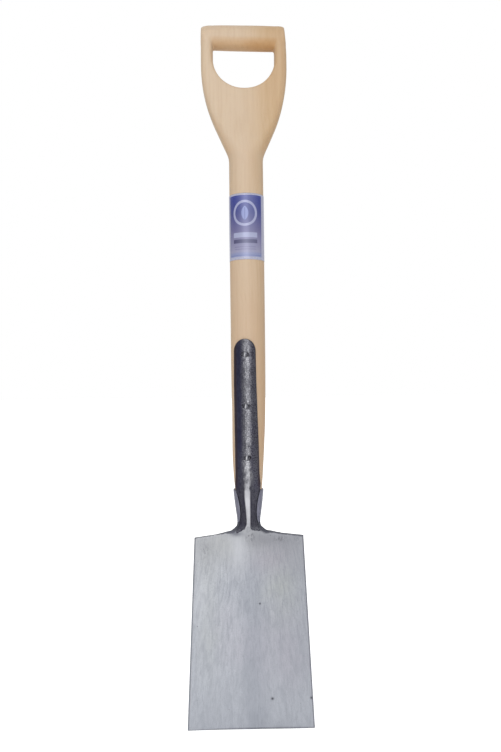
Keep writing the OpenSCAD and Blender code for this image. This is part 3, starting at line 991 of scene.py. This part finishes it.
def forged_material(name, is_socket):
    """Dark steel, mottled by the hammer, with a painted highlight along its crown that partly stands for wear; the
    socket's cheeks get a lighter painted reflection.
    """
    g = Graph(name)
    x, y, z = g.axes()
    mottle = g.noise((330.0, 330.0, 190.0), detail=6.0, rough=0.7)
    grit = g.noise((620.0, 620.0, 560.0), detail=4.0, rough=0.62)
    drawn = g.noise((1300.0, 900.0, 22.0), detail=5.0, rough=0.6)
    patch = g.noise((70.0, 70.0, 34.0), detail=3.0)
    base = g.blend(g.span(mottle, 0.3, 0.72), srgb(44, 43, 54), srgb(74, 73, 82))
    base = g.cover(base, g.span(drawn, 0.45, 0.75, 0.0, 0.35), 92, 92, 101)
    base = g.cover(base, g.span(patch, 0.42, 0.66, 0.0, 0.5), 48, 46, 66)

    # Lighter grey specks right of the crown on the neck
    right_of_crown_grey = g.span(x, 0.0015, 0.006) * g.span(z, 0.3, 0.35, 0.1, 0.34)
    base = g.cover(base, right_of_crown_grey * g.span(grit, 0.36, 0.62), 126, 126, 134)
    blued = g.span(x, -0.005, -0.012) * g.span(z, 0.33, 0.4, 0.0, 0.38)
    base = g.cover(base, blued, 44, 45, 80)
    side = g.larger(-0.0028 - x, x - 0.0004)
    brown = g.span(side, 0.0112, 0.0148) * g.span(z, 0.33, 0.35, 0.0, 0.85)
    base = g.cover(base, brown, 60, 45, 48)

    # Painted highlight along the crown, standing for the strip light's reflection and partly for wear; it narrows
    # and sharpens down the neck
    blotch = g.noise((420.0, 420.0, 105.0), detail=5.0, rough=0.6)
    neck = g.span(z, 0.346, 0.332)
    neck_sheen_width = g.span(z, 0.288, 0.334, 0.0027, 0.0042) + g.span(z, 0.287, 0.276, 0.0, 0.0016)
    bend = g.span(z, 0.335, 0.343) * g.span(z, 0.37, 0.354)
    crown_x = 0.0021 - neck_sheen_width + g.span(z, 0.375, 0.41, 0.0, 0.001) + bend * 0.0024
    reach = g.larger(neck_sheen_width, g.span(z, 0.329, 0.344, 0.0, 0.0064)) + bend * 0.0016
    off_crown = x - crown_x
    away = g.larger(-off_crown, off_crown * (1.0 + bend * 1.7))
    closeness = 1.0 - away / reach
    frayed = (blotch - 0.5) * (1.05 - neck * 0.9)
    # The mask across the crown: painted highlight, partly wear
    worn = g.span(closeness + frayed, -0.15, 1.05 + neck * -0.7)
    speck = g.larger(g.span(blotch, 0.32, 0.62, 0.5, 1.0), neck * 0.95)
    below_rivet = g.span(z, 0.3775, 0.3735) * g.span(z, 0.35, 0.364)
    sheen_break = g.span(z, 0.33, 0.337) * g.span(z, 0.352, 0.345)
    strength = neck * 0.5 + g.span(patch, 0.35, 0.65, 0.3, 0.52) + below_rivet * 0.26 + bend * 0.36
    strength = strength - sheen_break * g.span(grit, 0.38, 0.62, -0.16, 0.16)
    halo = g.span(off_crown, -0.0105, -0.002) * g.span(off_crown, 0.0075, 0.002)
    halo = halo * g.span(z, 0.34, 0.356, 0.0, 0.2)
    amount = g.larger(worn * speck * strength, halo * g.span(blotch, 0.3, 0.62, 0.4, 1.0))
    amount = g.larger(g.smaller(amount * g.span(z, 0.554, 0.548), 1.0), 0.0)
    base = g.cover(base, amount, 208, 208, 213)
    glint = (1.0 - neck) * g.span(grit, 0.52, 0.63, 0.0, 0.95)
    base = g.cover(base, glint * amount, 242, 242, 244)
    spent = (1.0 - neck) * g.span(grit, 0.48, 0.36, 0.0, 0.6)
    base = g.cover(base, spent * (1.0 - g.larger(below_rivet, bend)), 50, 50, 58)

    smeared = g.span(z, 0.286, 0.2755) * g.span(grit, 0.4, 0.62, 0.08, 0.6)
    base = g.cover(base, smeared * g.span(x, -0.012, 0.004, 0.5, 0.72), 150, 152, 158)
    # Painted highlight on the strap's tip
    tip = spot(g, x, z, (-0.002, 0.5512), (0.008, 0.0038)) * g.span(grit, 0.3, 0.6, 0.5, 1.0)
    base = g.cover(base, tip, 214, 214, 216)
    for center in RIVETS.values():
        dx, dz = x - center[0] * MM, z - center[2] * MM
        wobbled = g.math("SQRT", dx * dx + dz * dz) + (grit - 0.5) * 0.0085
        ring = g.span(abs(wobbled - 0.0043), 0.0019, 0.0006) * g.span(blotch, 0.42, 0.55, 0.25, 1.0)
        ring = ring * g.span(abs(dz), 0.0044, 0.0018, 0.15, 1.0)
        base = g.cover(base, ring, 24, 23, 29)

    if is_socket:
        # Painted reflection: the cheeks' fronts lighter grey
        cheek = g.span(z, 0.3375, 0.335) * g.span(y, 0.008, -0.001) * g.span(z, 0.28, 0.292, 0.15, 1.0)
        shine = g.blend(g.span(drawn, 0.3, 0.7), srgb(108, 108, 122), srgb(134, 134, 148))
        base = g.blend(cheek, base, shine)
    rough = g.span(mottle, 0.25, 0.75, 0.3, 0.46)
    height = (mottle * 0.8 + drawn * 0.25) * (1.0 - neck * 0.7)
    return g.finish(Base_Color=base, Metallic=0.9, Roughness=rough, Normal=g.bump(height, 0.00022, 0.8))


def pin_material(name, light, dark, rough_low):
    g = Graph(name)
    mottle = g.noise((560.0, 560.0, 330.0), detail=5.0, rough=0.65)
    scratch = g.noise((200.0, 3000.0, 3000.0), detail=3.0)
    base = g.blend(g.span(mottle, 0.3, 0.7), dark, light)
    rough = g.span(scratch, 0.25, 0.75, rough_low, rough_low + 0.2)
    bump = g.bump(mottle + scratch * 0.3, 0.00008, 0.6)
    return g.finish(Base_Color=base, Metallic=0.92, Roughness=rough, Normal=bump)


def rivet_material():
    """Dark hammered heads, each with one narrow painted highlight."""
    g = Graph("rivet_steel")
    x, y, z = g.axes()
    mottle = g.noise((560.0, 560.0, 330.0), detail=5.0, rough=0.65)
    base = g.blend(g.span(mottle, 0.32, 0.68), srgb(40, 40, 47), srgb(118, 118, 125))
    for center in RIVETS.values():
        # Painted highlight: a narrow bright line on each head
        middle = (center[0] * MM - 0.0008, center[2] * MM)
        line = spot(g, x, z, middle, (0.0008, 0.003)) * 0.85
        base = g.cover(base, line, 228, 228, 231)
    rough = g.span(mottle, 0.25, 0.75, 0.28, 0.46)
    return g.finish(Base_Color=base, Metallic=0.92, Roughness=rough, Normal=g.bump(mottle, 0.00012, 0.7))


def label_material():
    """Printed foil: a blue panel that fades to lavender, a plain ring with a leaf, and two plain bars."""
    g = Graph("label_foil")
    x, y, z = g.axes()
    angle = g.math("ARCTAN2", x - BOW * MM, -y)
    turn = math.radians(-7.2)
    u = (angle - turn) * SHAFT_R
    v = z / MM - (LABEL_LO[2] + LABEL_HI[2]) / 2.0
    height = LABEL_HI[2] - LABEL_LO[2]
    soft = 0.25

    def below(value, limit):
        """1 where value is under limit, with a slightly soft edge."""
        return g.span(value, limit + soft, limit - soft)

    def bar(center_u, center_v, half_u, half_v):
        du = abs(u - center_u) - half_u
        dv = abs(v - center_v) - half_v
        return below(g.larger(du, dv), 0.0)

    def distance(center_u, center_v):
        du, dv = u - center_u, v - center_v
        return g.math("SQRT", du * du + dv * dv)

    up = (v + height / 2.0) / height
    panel = g.ramp(
        up, (0.0, srgb(150, 158, 197)), (0.09, srgb(148, 156, 194)), (0.12, srgb(164, 162, 188)),
        (0.45, srgb(112, 108, 152)), (0.72, srgb(58, 66, 138)), (1.0, srgb(28, 48, 145))
    )
    fleck = g.noise((900.0, 900.0, 900.0), detail=3.0)
    panel = g.cover(panel, g.span(fleck, 0.35, 0.7, 0.0, 0.22), 112, 112, 176)

    mark_v, mark_r = height * 0.2, 18.0
    ring = below(distance(0.0, mark_v), mark_r) * (1.0 - below(distance(0.0, mark_v), mark_r - 3.4))
    leaf_gap, leaf_r = 7.5, 12.5
    leaf = below(distance(-leaf_gap, mark_v), leaf_r) * below(distance(leaf_gap, mark_v), leaf_r)
    vein = bar(0.0, mark_v - 1.5, 0.45, 9.0)
    printed = g.cover(panel, ring * 0.75, 190, 193, 224)
    printed = g.cover(printed, leaf * 0.72, 150, 162, 216)
    printed = g.cover(printed, vein * 0.8, 66, 76, 146)
    bars = (
        (-0.13, 18.0, 3.4, 0.62, (196, 202, 232)),
        (-0.225, 18.0, 2.6, 0.78, (48, 46, 92)),
        (-0.31, 16.0, 0.5, 0.45, (96, 88, 140)),
        (-0.345, 16.0, 0.5, 0.45, (96, 88, 140)),
    )
    for up_share, half_u, half_v, share, colour in bars:
        printed = g.cover(printed, bar(0.0, height * up_share, half_u, half_v) * share, *colour)

    half_panel = 26.6
    inside = bar(0.0, 0.6, half_panel, height / 2.0 - 3.2)
    within = bar(0.0, 0.6, half_panel - 1.6, height / 2.0 - 4.8)
    frame_line = within * (1.0 - bar(0.0, 0.6, half_panel - 2.4, height / 2.0 - 5.6))
    printed = g.cover(printed, frame_line * 0.5, 74, 84, 160)
    # Painted sheen: a broad lighter band down the middle of the label
    sheen = g.span(abs(u - 3.5), 22.0, 2.0, 0.0, 0.22)
    printed = g.cover(printed, sheen, 192, 196, 222)
    foil = g.blend(g.span(fleck, 0.3, 0.7), srgb(172, 172, 196), srgb(196, 197, 216))
    base = g.blend(inside, foil, printed)
    wave = g.noise((160.0, 160.0, 40.0), detail=3.0)
    return g.finish(
        Base_Color=base, Metallic=0.15, Roughness=g.span(fleck, 0.3, 0.7, 0.36, 0.46),
        Coat_Weight=0.22, Coat_Roughness=0.32, Normal=g.bump(wave, 0.00012, 0.5)
    )


def floor_material():
    """Pale floor that the camera sees as bright as the backdrop, with only a hint of shadow."""
    g = Graph("pale_floor")
    grain = g.noise((40.0, 40.0, 40.0), detail=3.0)
    base = g.blend(g.span(grain, 0.3, 0.7), (0.9, 0.9, 0.905, 1.0), (0.93, 0.93, 0.93, 1.0))
    seen = g.node("ShaderNodeLightPath", out="Is Camera Ray")
    mirrored = g.node("ShaderNodeLightPath", out="Is Glossy Ray")
    glow = seen * 0.75 + mirrored * 0.3
    return g.finish(Base_Color=base, Roughness=0.9, Specular_IOR_Level=0.1,
                    Emission_Color=(1.0, 1.0, 1.0, 1.0), Emission_Strength=glow)


# ---- Putting it together ----


def dress(obj, material, node):
    """Gives a piece its material, parents it to the body and hides the CAD node that it stands for."""
    obj.data.materials.append(material)
    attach(obj, BODY)
    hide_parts(node)


def build_spade():
    wood = wood_material()
    rivet_steel = rivet_material()
    pin_steel = pin_material("pin_steel", srgb(178, 178, 182), srgb(140, 140, 146), 0.3)
    dress(build_handle(), wood, "handle")
    dress(build_blade(), blade_material(), "blade")
    dress(build_front_strap(), forged_material("forged_steel", False), "front_strap")
    dress(build_rear_strap(), forged_material("forged_steel_socket_sheened", True), "rear_strap")
    for seed, (name, center) in enumerate(RIVETS.items()):
        dress(build_rivet(name, center, 40 + seed), rivet_steel, name)
    pin_lo, pin_hi = cad_box("grip_pin")
    left, right = (side * float(grip_half_width(BAR_Z) - grip_taper(side, BAR_Z)) for side in (-1.0, 1.0))
    pin = revolved_pin("grip_pin_ground", BAR_Z, (pin_hi[2] - pin_lo[2]) / 2.0, left, right)
    dress(pin, pin_steel, "grip_pin")
    dress(build_label(), label_material(), "label")


def build_floor():
    bpy.ops.mesh.primitive_plane_add(size=30.0, location=(0.0, 0.0, -0.0002))
    floor = bpy.context.object
    floor.name = "floor"
    floor.data.materials.append(floor_material())


def area_light(name, place, target, size, power):
    data = bpy.data.lights.new(name, "AREA")
    data.shape = "RECTANGLE"
    data.size, data.size_y = size
    data.energy = power
    light = add_object(name, data)
    light.location = place
    aim = np.array(target) - np.array(place)
    light.rotation_euler = Vector(aim).to_track_quat("-Z", "Y").to_euler()


# Name, place, target and size of each light in metres, and its power in watts
LIGHTS = (
    ("key", (-0.45, -1.85, 1.5), (0.0, 0.0, 0.5), (1.0, 1.2), 9.0),
    ("streak", (0.12, -2.1, 0.75), (0.0, 0.0, 0.45), (0.14, 1.5), 5.0),
    ("back", (0.3, 1.8, 1.4), (0.0, 0.0, 0.5), (1.6, 1.6), 3.0),
)


def build_world():
    """White behind the object, and a softer, darker surround in its reflections."""
    world = bpy.data.worlds.new("studio")
    bpy.context.scene.world = world
    world.use_nodes = True
    tree = world.node_tree
    tree.nodes.clear()
    output = tree.nodes.new("ShaderNodeOutputWorld")
    path = tree.nodes.new("ShaderNodeLightPath")
    mixer = tree.nodes.new("ShaderNodeMixShader")
    tree.links.new(path.outputs["Is Camera Ray"], mixer.inputs[0])
    surround, backdrop = ((0.98, 0.99, 1.0, 1.0), 0.62), ((1.0, 1.0, 1.0, 1.0), 1.0)
    for number, (colour, strength) in enumerate((surround, backdrop), 1):
        background = tree.nodes.new("ShaderNodeBackground")
        background.inputs["Color"].default_value = colour
        background.inputs["Strength"].default_value = strength
        tree.links.new(background.outputs[0], mixer.inputs[number])
    tree.links.new(mixer.outputs[0], output.inputs["Surface"])


def build_camera():
    """Level camera in front of the spade, half way up it, turned and rolled a little."""
    data = bpy.data.cameras.new("camera")
    data.lens = 33.7
    data.sensor_width = 36.0
    data.clip_start = 0.01
    camera = add_object("camera", data)
    camera.location = (-0.026, -1.0, 0.495)
    camera.rotation_mode = "XYZ"
    turn = Euler((math.radians(90.0), 0.0, math.radians(-1.76)), "XYZ").to_matrix()
    roll = Euler((0.0, 0.0, math.radians(-0.65)), "XYZ").to_matrix()
    camera.rotation_euler = (turn @ roll).to_euler("XYZ")
    bpy.context.scene.camera = camera


build_spade()
build_floor()
for light_settings in LIGHTS:
    area_light(*light_settings)
build_world()
build_camera()
bpy.context.scene.view_settings.view_transform = "Standard"
